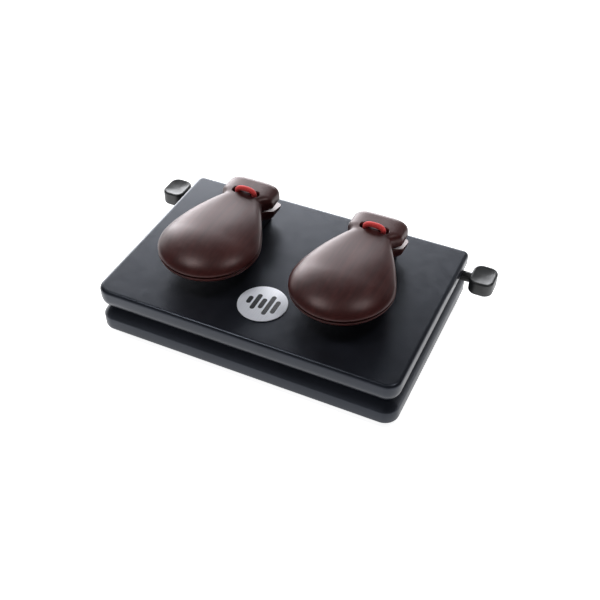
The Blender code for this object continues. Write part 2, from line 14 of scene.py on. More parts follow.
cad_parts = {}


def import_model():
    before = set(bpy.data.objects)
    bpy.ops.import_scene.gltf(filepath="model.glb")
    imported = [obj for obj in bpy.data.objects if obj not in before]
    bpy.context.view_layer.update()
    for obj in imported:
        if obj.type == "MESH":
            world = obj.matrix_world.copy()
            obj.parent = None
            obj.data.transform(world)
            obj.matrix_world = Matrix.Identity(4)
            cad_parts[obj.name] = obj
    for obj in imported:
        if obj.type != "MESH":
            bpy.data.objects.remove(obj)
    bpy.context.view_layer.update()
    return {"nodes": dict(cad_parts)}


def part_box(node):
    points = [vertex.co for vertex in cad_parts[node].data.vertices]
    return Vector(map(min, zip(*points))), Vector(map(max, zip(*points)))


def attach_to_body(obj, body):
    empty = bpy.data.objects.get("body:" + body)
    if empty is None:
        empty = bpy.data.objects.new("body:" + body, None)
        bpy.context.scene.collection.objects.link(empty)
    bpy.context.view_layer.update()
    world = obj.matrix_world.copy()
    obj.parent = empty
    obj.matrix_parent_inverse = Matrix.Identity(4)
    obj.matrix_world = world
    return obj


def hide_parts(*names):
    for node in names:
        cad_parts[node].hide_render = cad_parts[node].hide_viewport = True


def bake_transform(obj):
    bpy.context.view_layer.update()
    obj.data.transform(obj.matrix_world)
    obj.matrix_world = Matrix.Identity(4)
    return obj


MM = 0.001
GAP = 0.3 * MM  # between two pieces that touch
SIDES = (("left", -1), ("right", 1))
CUT_MARGIN = 1.0 * MM  # how far a cutting tool passes the face it cuts
DRILL_LENGTH = 30.0 * MM
SHARP_ANGLE = 35.0  # degrees between two faces, above which their edge is drawn sharp

# Board
FRONT_CORNER = 8.2 * MM  # in plan, CAD 7.0
BACK_CORNER = 3.8 * MM  # CAD 7.0
UPPER_SLAB_ROUNDING = (2.1 * MM, 8.5 * MM)  # top edge, bottom edge (CAD 6.0)
LOWER_SLAB_ROUNDING = (6.0 * MM, 2.2 * MM)
LOWER_SLAB_FLATNESS = 1.6  # of its top edge: 1 is a quarter circle (CAD), 2 a plain chamfer
SMALLEST_CORNER = 0.4 * MM
CORNER_STEPS = 14
ROUNDING_STEPS = 10
FLAT_BORDER = 0.5 * MM  # keeps the shading of a flat face away from its rounding
RISER_CORNER = 3.2 * MM
RISER_ROUNDING = 0.5 * MM

# Feet
FOOT_SEAT_EDGE = 0.2 * MM
FOOT_EDGE = 0.9 * MM
FOOT_DIMPLE_RADII = (2.6 * MM, 2.3 * MM)  # at its mouth and at its floor
FOOT_DIMPLE_DEPTH = 0.6 * MM

# Screws
BOARD_SCREWS = tuple(f"board_screw_{number}" for number in range(1, 5))
SCREW_RADIUS = 1.7 * MM
SCREW_HOLE_RADIUS = 2.0 * MM
SCREW_SINK_DEPTH = 2.8 * MM
SCREW_HEAD_HEIGHT = 2.2 * MM
SCREW_HEAD_EDGE = 0.3 * MM  # the straight part of the head's side
SCREW_HEAD_SWEEP = 0.92  # of the quarter circle that its domed face follows
SCREW_TIP_LENGTHS = (2.0 * MM, 4.2 * MM)  # to the point's shoulder and to the first thread
SCREW_TIP_SHARE = 0.3  # of the radius, at the point's shoulder
SCREW_ROOT_SHARE = 0.78  # of the radius, between two threads
SCREW_THREADS = 14
SCREW_PLAIN_LENGTH = 0.8 * MM  # under the head
CROSS_SLOT = (3.2 * MM, 0.7 * MM, 2.4 * MM)

# Badge
BADGE_EDGE = 0.12 * MM
INK_THICKNESS = 0.04 * MM
BAR_HALF_WIDTH = 1.35 * MM
BAR_HALF_HEIGHTS = (3.0 * MM, 6.4 * MM, 4.2 * MM, 8.0 * MM, 5.2 * MM)
BAR_SPACING = 3.9 * MM

# Castanets, in plan from the middle of the bowl
BOWL_RADIUS = 29.0 * MM
BOWL_HEIGHT = 9.4 * MM
FLANK_ANGLE = math.radians(20.0)  # where the bowl's arc gives way to the flank
NECK_Y = 38.6 * MM
NECK_HALF_WIDTH = 12.9 * MM
NECK_ANGLE = math.radians(28.0)  # of the flank, where it meets the neck
FLANK_HANDLES = (0.4, 0.3)  # of the flank's length, at the bowl and at the neck
SHOULDER_LENGTH = 6.4 * MM
EAR_END_Y = 57.2 * MM
EAR_HALF_WIDTH = {1: 16.6 * MM, -1: 17.4 * MM}  # of the upper and the lower shell
EAR_CORNER = 4.0 * MM
EAR_HEIGHT = 8.5 * MM
EAR_EDGE_HEIGHT = 7.2 * MM  # the ear's back edge, after its rounding
EAR_ROUNDING = 3.0 * MM
BOWL_POWER = 2.25  # of the superellipse that each cross-section follows, CAD 2.6
EAR_POWER = 4.4
POWER_OFFSET = 0.6  # slims the section towards the rim, against a plain superellipse
RIM_FILLET = 0.7 * MM
HOLLOW_RADIUS = 20.5 * MM
HOLLOW_DEPTH = 6.2 * MM
BRIDGE_Y = 41.0 * MM  # the line that the shells rock on
EAR_SLOPE = {1: math.radians(4.0), -1: math.radians(14.0)}  # away from the rim, behind the bridge
SLOPE_TOOL = (60.0 * MM, 30.0 * MM, 12.0 * MM)
SLOPE_TOOL_LEAD = 4.0 * MM  # in front of the bridge, clear of the shell
EAR_FLAT = 7.6 * MM  # the lower ear's flat seat, below the rim
SEAT_TOOL = (60.0 * MM, 60.0 * MM, 10.0 * MM)
SEAT_LEAD = 2.0 * MM  # of the seat, in front of the riser
SHELL_SHARP_ANGLE = 30.0
ACROSS_STEPS = 48
POLAR_STEPS = 64
FLANK_STEPS = (8, 28, 16, 8, 14)  # bowl's arc, flank, shoulder, ear's side, ear's corner
RIM_STEPS = 6
HOLLOW_STEPS = 32

# Cord
CORD_SHIFT = 0.9 * MM  # of the ears and their holes, from the middle of the bowls
CORD_RADIUS = 1.6 * MM
CORD_HOLE_RADIUS = 2.6 * MM
CORD_HOLE_LIP = 0.8 * MM  # the rounding of its mouth on the upper ear
CORD_HALF_SPACING = 5.4 * MM
HOLE_HALF_SPACING = 6.0 * MM
CORD_BEND = 3.4 * MM
ARCH_RISE = 1.9 * MM
ARCH_SINK = 0.9 * MM  # how far down its hole the cord starts to bend, CAD 0
ARCH_DROP = 0.2 * MM  # of the arch's highest point below the CAD's
ARCH_POWER = 0.85  # below 1 squares the arch, CAD 0.75
ARCH_STEPS = 40
CORD_SHARP_ANGLE = 80.0
BRAID_STRANDS = 8
BRAID_PITCH = 9.0 * MM
BRAID_RELIEF = 0.13 * MM
BRAID_SMOOTHING = 6  # passes over the route, which round its corners
WINDING_TURNS = 2
WINDING_STEPS = 120
WINDING_CROSSING = 0.2  # of a turn, where the cord steps over to the second turn

# Pegs
SHAFT_RADIUS = 3.0 * MM
SHAFT_INNER_X = 12.0 * MM
SEAT_ROOM = 1.5 * GAP  # round a bush and a clip
BUTTON_CORNER = 5.2 * MM
BUTTON_ROUNDING = 1.1 * MM  # CAD 2.0
BUTTON_DISH_DEPTH = 1.0 * MM  # CAD 0.9
BUTTON_DISH_CORNER = 4.42 * MM
BUTTON_DISH_STEPS = 15
BUTTON_BORE_DEPTH = 8.0 * MM
POCKET_RADIUS = 5.3 * MM  # the room round the windings
POCKET_LENGTH = 22.0 * MM
SPOOL_RADIUS = 1.0 * MM
WINDING_RADIUS = SPOOL_RADIUS + GAP + CORD_RADIUS  # to the cord's middle

# Camera: its place round the board's middle, then its turn away from it
CAMERA_AZIMUTH = math.radians(26.116)  # 0 is in front, 90 degrees to the right
CAMERA_ELEVATION = math.radians(43.070)
CAMERA_DISTANCE = 548.69 * MM
CAMERA_PAN = math.radians(0.8148)
CAMERA_TILT = math.radians(0.4123)
CAMERA_ROLL = math.radians(-0.6855)
CAMERA_LENS = 55.69  # millimetres, on the sensor's width
CAMERA_SENSOR = 36.0

# Light
SKY_COLOUR = (0.92, 0.95, 1.0, 1.0)
SKY_STRENGTH = 0.08
FLOOR_SIZE = 4.0  # from the middle to its edges
LIGHT_TARGET = Vector((0.0, 0.0, 30.0 * MM))
SOFTBOXES = (  # name, azimuth, elevation, distance, (width, height), radiance, colour
    ("back_window", -149, 15, 1.7, (1.5, 1.0), 8.5, (0.96, 0.97, 1.0)),
    ("front_fill", -25, 16, 1.8, (2.4, 0.8), 0.25, (1.0, 1.0, 1.0)),
    ("back_wall", -175, 18, 1.9, (2.9, 1.3), 0.8, (0.95, 0.97, 1.0)),
    ("left_window", -118, 12, 1.6, (0.8, 0.6), 2.6, (0.98, 0.99, 1.0)),
    ("overhead_left", -72, 67, 1.3, (0.26, 0.26), 17.0, (1.0, 1.0, 1.0)),
    ("overhead_right", 115, 67, 1.3, (0.26, 0.26), 12.0, (1.0, 1.0, 1.0)),
)

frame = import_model()


# ---------------------------------------------------------------- places


def middle_of(node):
    low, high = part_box(node)
    return (low + high) / 2


def size_of(node):
    low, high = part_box(node)
    return high - low


def underside_of(node):
    """The middle of the underside of a node's box."""
    middle = middle_of(node)
    return Vector((middle.x, middle.y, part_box(node)[0].z))


def cord_x(prefix):
    return middle_of(f"{prefix}_cord_loop").x


def cord_hole_places(prefix):
    return [cord_x(prefix) + offset for offset in (-HOLE_HALF_SPACING, HOLE_HALF_SPACING)]


SEAM_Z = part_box("upper_slab")[0].z
BOARD_TOP_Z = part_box("upper_slab")[1].z
HALF_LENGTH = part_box("upper_slab")[1].x
CORD_Y = middle_of("left_cord_loop").y
PEG_Y = middle_of("left_peg_clip").y
PEG_Z = middle_of("left_peg_clip").z


# ---------------------------------------------------------------- node helpers


def shader_of(made):
    return made.node_tree.nodes["Principled BSDF"]


def new_material(name, colour, roughness, **sockets):
    """A material from socket values. Textures that are added later take the place of some."""
    made = bpy.data.materials.new(name)
    made.use_nodes = True
    shader = shader_of(made)
    shader.inputs["Base Color"].default_value = (*colour, 1.0)
    shader.inputs["Roughness"].default_value = roughness
    for socket, value in sockets.items():
        shader.inputs[socket.replace("_", " ")].default_value = value
    return made


def noise(made, scale, detail=3.0, stretch=(1.0, 1.0, 1.0)):
    """Noise over the object's own coordinates, in cycles per metre."""
    nodes, links = made.node_tree.nodes, made.node_tree.links
    coords = nodes.new("ShaderNodeTexCoord")
    mapping = nodes.new("ShaderNodeMapping")
    mapping.inputs["Scale"].default_value = stretch
    texture = nodes.new("ShaderNodeTexNoise")
    texture.inputs["Scale"].default_value = scale
    texture.inputs["Detail"].default_value = detail
    links.new(coords.outputs["Object"], mapping.inputs["Vector"])
    links.new(mapping.outputs["Vector"], texture.inputs["Vector"])
    return texture.outputs["Fac"]


def mixed(made, first, second, share):
    """Two values mixed, with this share of the second."""
    node = made.node_tree.nodes.new("ShaderNodeMix")
    node.inputs["Factor"].default_value = share
    made.node_tree.links.new(first, node.inputs["A"])
    made.node_tree.links.new(second, node.inputs["B"])
    return node.outputs["Result"]


def ramp(made, source, stops):
    """Maps a value to colours at (position, colour) stops."""
    node = made.node_tree.nodes.new("ShaderNodeValToRGB")
    made.node_tree.links.new(source, node.inputs["Fac"])
    elements = node.color_ramp.elements
    while len(elements) < len(stops):
        elements.new(0.5)
    for element, (position, colour) in zip(elements, stops):
        element.position = position
        element.color = (*colour, 1.0)
    return node.outputs["Color"]


def grey(value):
    return (value, value, value)


def drive(made, socket, source):
    made.node_tree.links.new(source, shader_of(made).inputs[socket])


def colour_by(made, source, *stops):
    drive(made, "Base Color", ramp(made, source, stops))


def roughness_by(made, source, *stops):
    greys = [(position, grey(value)) for position, value in stops]
    drive(made, "Roughness", ramp(made, source, greys))


def bump(made, source, height, strength=1.0):
    node = made.node_tree.nodes.new("ShaderNodeBump")
    node.inputs["Distance"].default_value = height
    node.inputs["Strength"].default_value = strength
    made.node_tree.links.new(source, node.inputs["Height"])
    drive(made, "Normal", node.outputs["Normal"])


# ---------------------------------------------------------------- materials


def black_paint():
    made = new_material(
        "black_satin_paint", (0.010, 0.0115, 0.016), 0.24, Specular_Tint=(0.70, 0.77, 0.92, 1.0)
    )
    tone = noise(made, 60, 4.0)
    colour_by(made, tone, (0.3, (0.0075, 0.0085, 0.012)), (0.7, (0.0125, 0.014, 0.020)))
    roughness_by(made, noise(made, 180, 5.0), (0.35, 0.28), (0.7, 0.33))
    bump(made, noise(made, 900, 2.0), 0.006 * MM, 0.4)
    return made


def brown_lacquer():
    made = new_material(
        "brown_lacquer", (0.066, 0.0145, 0.0135), 0.36,
        Specular_IOR_Level=0.42, Specular_Tint=(1.0, 0.80, 0.79, 1.0),
    )
    grain = noise(made, 500, 3.0, (1.0, 0.05, 1.0))
    broad = noise(made, 60, 3.0, (1.0, 0.4, 1.0))
    colour_by(
        made, mixed(made, grain, broad, 0.6),
        (0.36, (0.028, 0.0055, 0.005)),
        (0.52, (0.045, 0.0092, 0.0082)),
        (0.68, (0.066, 0.016, 0.014)),
    )
    roughness_by(made, noise(made, 260, 4.0), (0.3, 0.33), (0.7, 0.38))
    bump(made, noise(made, 350, 2.0), 0.01 * MM, 0.3)
    return made


def red_elastic():
    made = new_material(
        "red_elastic", (0.92, 0.055, 0.05), 0.75,
        Sheen_Weight=0.6, Sheen_Roughness=0.4, Sheen_Tint=(1.0, 0.55, 0.55, 1.0),
    )
    fibre = noise(made, 5200, 3.0, (1.0, 1.0, 0.5))
    colour_by(
        made, fibre,
        (0.32, (0.7, 0.025, 0.03)),
        (0.55, (0.95, 0.065, 0.062)),
        (0.75, (1.0, 0.19, 0.17)),
    )
    bump(made, fibre, 0.08 * MM, 0.7)
    return made


def peg_black():
    made = new_material("black_peg", (0.014, 0.0155, 0.016), 0.4)
    tone = noise(made, 150, 3.0)
    colour_by(made, tone, (0.3, (0.011, 0.0125, 0.013)), (0.7, (0.02, 0.0215, 0.022)))
    roughness_by(made, noise(made, 420, 4.0), (0.3, 0.36), (0.7, 0.44))
    bump(made, noise(made, 2600, 2.0), 0.015 * MM, 0.4)
    return made


def badge_foil():
    made = new_material("badge_foil", (0.80, 0.82, 0.88), 0.42)
    brushed = noise(made, 2500, 3.0, (1.0, 0.04, 1.0))
    colour_by(made, brushed, (0.3, (0.78, 0.80, 0.87)), (0.7, (0.88, 0.90, 0.96)))
    roughness_by(made, noise(made, 500, 3.0), (0.3, 0.36), (0.7, 0.48))
    return made


def badge_ink():
    made = new_material("badge_ink", (0.014, 0.015, 0.018), 0.45)
    tone = noise(made, 1500, 3.0)
    colour_by(made, tone, (0.3, (0.01, 0.011, 0.014)), (0.7, (0.024, 0.025, 0.029)))
    return made


def metal(name, dark, light, roughness):
    made = new_material(name, light, roughness, Metallic=1.0)
    turned_marks = noise(made, 1800, 4.0, (1.0, 0.15, 0.15))
    colour_by(made, turned_marks, (0.3, dark), (0.7, light))
    roughness_by(made, turned_marks, (0.3, roughness - 0.06), (0.7, roughness + 0.08))
    return made


def rubber():
    made = new_material("rubber", (0.02, 0.02, 0.021), 0.8)
    speckle = noise(made, 2200, 4.0)
    colour_by(made, speckle, (0.3, grey(0.015)), (0.7, grey(0.03)))
    bump(made, speckle, 0.05 * MM, 0.5)
    return made


PAINT = black_paint()
LACQUER = brown_lacquer()
ELASTIC = red_elastic()
PEG = peg_black()
FOIL = badge_foil()
INK = badge_ink()
BRASS = metal("brass", (0.55, 0.38, 0.16), (0.75, 0.56, 0.27), 0.3)
STEEL = metal("steel", (0.48, 0.48, 0.5), (0.64, 0.64, 0.66), 0.3)
RUBBER = rubber()


# ---------------------------------------------------------------- mesh helpers


def quarter_turn(steps, first=0):
    """Angles from 0 to 90 degrees."""
    return [math.pi / 2 * step / steps for step in range(first, steps + 1)]


def finish_mesh(name, shape, look, sharp=SHARP_ANGLE):
    mesh = bpy.data.meshes.new(name)
    bmesh.ops.recalc_face_normals(shape, faces=shape.faces)
    shape.to_mesh(mesh)
    shape.free()
    mesh.shade_smooth()
    mesh.set_sharp_from_angle(angle=math.radians(sharp))
    made = bpy.data.objects.new(name, mesh)
    mesh.materials.append(look)
    bpy.context.scene.collection.objects.link(made)
    return made


def stacked(rings):
    """A closed solid through rings of points, capped at both ends."""
    shape = bmesh.new()
    rows = [[shape.verts.new(point) for point in ring] for ring in rings]
    for row, after in zip(rows, rows[1:]):
        for i in range(len(row)):
            j = (i + 1) % len(row)
            shape.faces.new((row[i], row[j], after[j], after[i]))
    shape.faces.new(rows[0])
    shape.faces.new(list(reversed(rows[-1])))
    return shape


def turned_shape(profile, steps):
    """A closed solid of revolution about Z. profile runs from axis to axis as (radius, z)."""
    shape = bmesh.new()
    turn = [2 * math.pi * i / steps for i in range(steps)]
    rows = []
    for radius, z in profile:
        if radius <= 0:
            rows.append([shape.verts.new((0.0, 0.0, z))])
            continue
        points = [(radius * math.cos(a), radius * math.sin(a), z) for a in turn]
        rows.append([shape.verts.new(point) for point in points])
    for row, after in zip(rows, rows[1:]):
        for i in range(steps):
            j = (i + 1) % steps
            if len(row) == 1:
                shape.faces.new((row[0], after[i], after[j]))
            elif len(after) == 1:
                shape.faces.new((row[i], row[j], after[0]))
            else:
                shape.faces.new((row[i], row[j], after[j], after[i]))
    return shape


def rod(radius, length, steps=48, along="Z"):
    half = length / 2
    shape = turned_shape([(0.0, half), (radius, half), (radius, -half), (0.0, -half)], steps)
    if along == "X":
        turn = Matrix.Rotation(math.pi / 2, 3, "Y")
        bmesh.ops.rotate(shape, matrix=turn, verts=shape.verts)
    return shape


def block(size):
    shape = bmesh.new()
    bmesh.ops.create_cube(shape, size=1.0)
    bmesh.ops.scale(shape, vec=size, verts=shape.verts)
    return shape


def moved(shape, place, rotation=None):
    if rotation:
        bmesh.ops.rotate(shape, matrix=rotation, verts=shape.verts)
    bmesh.ops.translate(shape, vec=place, verts=shape.verts)
    return shape


def drilled(radius, x, y, z, length=DRILL_LENGTH):
    """A tool for an upright hole, centred on a place."""
    return moved(rod(radius, length), (x, y, z))


def merge(target, extra):
    mesh = bpy.data.meshes.new("merge")
    extra.to_mesh(mesh)
    extra.free()
    target.from_mesh(mesh)
    bpy.data.meshes.remove(mesh)


def carve(thing, tools, sharp=SHARP_ANGLE):
    """Cuts bmesh tools out of a piece and applies the result."""
    flat = bmesh.new()  # a face that isn't flat leaves scraps behind in a boolean cut
    flat.from_mesh(thing.data)
    bmesh.ops.triangulate(flat, faces=flat.faces)
    flat.to_mesh(thing.data)
    flat.free()
    cutters = []
    for tool in tools:
        name = f"{thing.name}_cutter_{len(cutters)}"
        cutters.append(finish_mesh(name, tool, thing.data.materials[0]))
        step = thing.modifiers.new("cut", "BOOLEAN")
        step.operation = "DIFFERENCE"
        step.object = cutters[-1]
    bpy.context.view_layer.update()
    evaluated = thing.evaluated_get(bpy.context.evaluated_depsgraph_get())
    result = bpy.data.meshes.new_from_object(evaluated)
    thing.modifiers.clear()
    thing.data = result
    result.shade_smooth()
    result.set_sharp_from_angle(angle=math.radians(sharp))
    for cutter in cutters:
        bpy.data.objects.remove(cutter, do_unlink=True)


def rounded_rectangle(half_x, half_y, back_radius, front_radius, z, steps=CORNER_STEPS):
    points = []
    for quarter, (sx, sy) in enumerate(((1, 1), (-1, 1), (-1, -1), (1, -1))):
        radius = back_radius if sy > 0 else front_radius
        for turn in quarter_turn(steps):
            angle = math.pi / 2 * quarter + turn
            x = sx * (half_x - radius) + radius * math.cos(angle)
            y = sy * (half_y - radius) + radius * math.sin(angle)
            points.append((x, y, z))
    return points


def rounded_plate(size, corners, top, bottom, steps=ROUNDING_STEPS, flatness=1.0):
    """A plate with (back, front) round corners and round top and bottom edges, middle at zero."""
    half_x, half_y, half_z = (s / 2 for s in size)
    profile = [(top + FLAT_BORDER, half_z)]
    for angle in quarter_turn(steps):
        inset, drop = (1 - max(f(angle), 0.0) ** flatness for f in (math.sin, math.cos))
        profile.append((top * inset, half_z - top * drop))
    for angle in quarter_turn(steps):
        profile.append((bottom * (1 - math.cos(angle)), bottom * (1 - math.sin(angle)) - half_z))
    profile.append((bottom + FLAT_BORDER, -half_z))
    rings = []
    for inset, z in profile:
        radii = [max(corner - inset, SMALLEST_CORNER) for corner in corners]
        rings.append(rounded_rectangle(half_x - inset, half_y - inset, *radii, z))
    return stacked(rings)


def attach(piece, body, replaces=()):
    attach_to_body(piece, body)
    if replaces:
        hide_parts(*replaces)


# ---------------------------------------------------------------- board


def peg_room():
    """What both slabs give up to the two pegs: one stepped bore a side."""
    tools = []
    for prefix, side in SIDES:
        bores = [(SHAFT_INNER_X - 2 * GAP, HALF_LENGTH + 2 * CUT_MARGIN, SHAFT_RADIUS + 2 * GAP)]
        for node in (f"{prefix}_outer_bush", f"{prefix}_inner_bush", f"{prefix}_peg_clip"):
            size, x = size_of(node), abs(middle_of(node).x)
            reach = size.x / 2 + GAP
            bores.append((x - reach, x + reach, size.z / 2 + SEAT_ROOM))
        x = abs(cord_x(prefix))
        bores.append((x - POCKET_LENGTH / 2, x + POCKET_LENGTH / 2, POCKET_RADIUS))
        turn = Matrix.Rotation(side * math.pi / 2, 3, "Y")
        bore = turned_shape(stepped_profile(bores), 48)
        tools.append(moved(bore, (0.0, PEG_Y, PEG_Z), turn))
    return tools


def stepped_profile(bores):
    """The outline of (start, end, radius) bores on one axis, the widest wherever they overlap."""
    stations = sorted({round(end, 6) for bore in bores for end in bore[:2]})
    profile = [(0.0, stations[0])]
    for start, end in zip(stations, stations[1:]):
        middle = (start + end) / 2
        radius = max(bore[2] for bore in bores if bore[0] < middle < bore[1])
        profile += [(radius, start), (radius, end)]
    profile.append((0.0, stations[-1]))
    return [point for n, point in enumerate(profile) if n == 0 or point != profile[n - 1]]


def cord_room():
    """The cords' holes and the grooves that lead them back to the pegs."""
    tools = []
    ceiling = PEG_Z + WINDING_RADIUS + CORD_HOLE_RADIUS
    front, back = CORD_Y - CORD_HOLE_RADIUS, PEG_Y - POCKET_RADIUS / 2
    for prefix, _ in SIDES:
        for x in cord_hole_places(prefix):
            top, length = BOARD_TOP_Z + CUT_MARGIN, BOARD_TOP_Z - SEAM_Z
            tools.append(drilled(CORD_HOLE_RADIUS, x, CORD_Y, top, length))
            groove = block((2 * CORD_HOLE_RADIUS, back - front, 2 * (ceiling - SEAM_Z)))
            tools.append(moved(groove, (x, (front + back) / 2, SEAM_Z)))
    return tools


def screw_room():
    """Sinks and shank holes of the four screws that come up through the lower slab."""
    tools = []
    for node in BOARD_SCREWS:
        place = underside_of(node)
        tools.append(drilled(size_of(node).x / 2 + GAP, *place, 2 * SCREW_SINK_DEPTH))
        tools.append(drilled(SCREW_HOLE_RADIUS, *place, 2 * DRILL_LENGTH))
    return tools


def board():
    """Both slabs. The screws' holes in the upper slab can't be seen and aren't cut."""
    corners = (BACK_CORNER, FRONT_CORNER)
    for node, rounding, flatness, tools in (
        ("upper_slab", UPPER_SLAB_ROUNDING, 1.0, peg_room() + cord_room()),
        ("lower_slab", LOWER_SLAB_ROUNDING, LOWER_SLAB_FLATNESS, peg_room() + screw_room()),
    ):
        shape = rounded_plate(size_of(node), corners, *rounding, flatness=flatness)
        piece = finish_mesh(f"{node}_painted", moved(shape, middle_of(node)), PAINT)
        carve(piece, tools)
        attach(piece, "base", [node])


def foot(node):
    """A turned foot with a dimple underneath."""
    size = size_of(node)
    radius, height = size.x / 2, size.z
    profile = [(0.0, height), (radius - FOOT_SEAT_EDGE, height), (radius, height - FOOT_SEAT_EDGE)]
    for angle in quarter_turn(8):
        inset, rise = FOOT_EDGE * (1 - math.cos(angle)), FOOT_EDGE * (1 - math.sin(angle))
        profile.append((radius - inset, rise))
    mouth, floor_radius = FOOT_DIMPLE_RADII
    profile += [(mouth, 0.0), (floor_radius, FOOT_DIMPLE_DEPTH), (0.0, FOOT_DIMPLE_DEPTH)]
    shape = moved(turned_shape(profile, 64), underside_of(node))
    attach(finish_mesh(f"{node}_moulded", shape, RUBBER), "base", [node])


def board_screw(node):
    """A screw that stands on its head, with a point, a thread of rings and a cross slot."""
    size = size_of(node)
    radius, length = size.x / 2, size.z
    shoulder, first_thread = SCREW_TIP_LENGTHS
    profile = [(0.0, length), (SCREW_RADIUS * SCREW_TIP_SHARE, length - shoulder)]
    profile.append((SCREW_RADIUS, length - first_thread))
    threaded = length - first_thread - SCREW_HEAD_HEIGHT - SCREW_PLAIN_LENGTH
    for turn in range(SCREW_THREADS):
        z = length - first_thread - threaded * turn / SCREW_THREADS
        profile.append((SCREW_RADIUS, z - 0.3 * MM))
        profile.append((SCREW_RADIUS * SCREW_ROOT_SHARE, z - 0.6 * MM))
    profile.append((SCREW_RADIUS, SCREW_HEAD_HEIGHT + SCREW_HEAD_EDGE))
    profile += [(SCREW_RADIUS, SCREW_HEAD_HEIGHT), (radius, SCREW_HEAD_HEIGHT)]
    for angle in quarter_turn(8):
        z = (SCREW_HEAD_HEIGHT - SCREW_HEAD_EDGE) * (1 - math.sin(angle))
        profile.append((radius * math.cos(angle * SCREW_HEAD_SWEEP), z))
    profile.append((0.0, 0.0))
    place = underside_of(node)
    piece = finish_mesh(f"{node}_cross_head", moved(turned_shape(profile, 40), place), STEEL)
    long, short, deep = CROSS_SLOT
    slots = ((long, short, deep), (short, long, deep))
    carve(piece, [moved(block(slot), place) for slot in slots])
    attach(piece, "base", [node])


def riser(prefix):
    node = f"{prefix}_riser"
    corners = (RISER_CORNER, RISER_CORNER)
    shape = rounded_plate(size_of(node), corners, RISER_ROUNDING, RISER_ROUNDING, 4)
    piece = finish_mesh(f"{node}_block", moved(shape, middle_of(node)), PAINT)
    z = middle_of(node).z
    tools = [drilled(CORD_HOLE_RADIUS, x, CORD_Y, z) for x in cord_hole_places(prefix)]
    for label in ("front", "back"):
        place = middle_of(f"{prefix}_{label}_shell_screw")
        tools.append(drilled(SCREW_HOLE_RADIUS, place.x, place.y, z))
    carve(piece, tools)
    attach(piece, "base", [node])


# ---------------------------------------------------------------- badge


def capsule(half_width, half_height, thickness, steps=12):
    """An upright bar with round ends."""
    ring = []
    for centre_y, start in ((half_height - half_width, 0.0), (half_width - half_height, math.pi)):
        for step in range(steps + 1):
            angle = start + math.pi * step / steps
            ring.append((half_width * math.cos(angle), centre_y + half_width * math.sin(angle)))
    return stacked([[(x, y, thickness) for x, y in ring], [(x, y, 0.0) for x, y in ring]])


def badge():
    """A thin printed disc. Its print is five plain bars of different heights."""
    size, place = size_of("badge"), underside_of("badge")
    radius, thickness = size.x / 2, size.z
    profile = [(0.0, thickness), (radius - BADGE_EDGE, thickness)]
    profile.append((radius - BADGE_EDGE / 3, thickness - BADGE_EDGE / 3))
    profile += [(radius, thickness - BADGE_EDGE), (radius, 0.0), (0.0, 0.0)]
    disc = finish_mesh("badge_disc", moved(turned_shape(profile, 128), place), FOIL)
    attach(disc, "base", ["badge"])
    marks = bmesh.new()
    for index, half_height in enumerate(BAR_HALF_HEIGHTS):
        x = (index - len(BAR_HALF_HEIGHTS) // 2) * BAR_SPACING
        bar = capsule(BAR_HALF_WIDTH, half_height, INK_THICKNESS)
        merge(marks, moved(bar, place + Vector((x, 0.0, thickness))))
    attach(finish_mesh("badge_print", marks, INK), "base")


# ---------------------------------------------------------------- castanets


def smooth_step(t):
    t = min(max(t, 0.0), 1.0)
    return t * t * (3.0 - 2.0 * t)


def ridge_height(y):
    height = BOWL_HEIGHT + (EAR_HEIGHT - BOWL_HEIGHT) * smooth_step(y / NECK_Y)
    into_rounding = max(0.0, 1.0 - (EAR_END_Y - y) / EAR_ROUNDING)
    drop = 1.0 - math.sqrt(max(0.0, 1.0 - into_rounding**2))
    return height - (EAR_HEIGHT - EAR_EDGE_HEIGHT) * drop


def section_power(y):
    return BOWL_POWER + (EAR_POWER - BOWL_POWER) * smooth_step(y / NECK_Y)


def section_height(across, power):
    return max(0.0, 1.0 - abs(across) ** power) ** (1.0 / (power - POWER_OFFSET))


def surface(across, y):
    """Height above the rim at a share of the half width and a place along the shell."""
    return RIM_FILLET + (ridge_height(y) - RIM_FILLET) * section_height(across, section_power(y))


def ear_shift(y):
    return CORD_SHIFT * smooth_step((y - NECK_Y) / (2 * SHOULDER_LENGTH) + 0.5)


def flank_curve(start):
    """Points from the end of the bowl's arc to the neck, which they meet at their angles."""
    tangent = Vector((-math.sin(FLANK_ANGLE), math.cos(FLANK_ANGLE)))
    neck = Vector((NECK_HALF_WIDTH, NECK_Y))
    into_neck = Vector((-math.sin(NECK_ANGLE), math.cos(NECK_ANGLE)))
    first, last = ((neck - start).length * share for share in FLANK_HANDLES)
    handles = [start, start + tangent * first, neck - into_neck * last, neck]
    points = []
    for step in range(1, FLANK_STEPS[1] + 1):
        t = step / FLANK_STEPS[1]
        weights = [(1 - t) ** 3, 3 * t * (1 - t) ** 2, 3 * t * t * (1 - t), t**3]
        points.append(tuple(sum((w * h for w, h in zip(weights, handles)), Vector((0, 0)))))
    return points


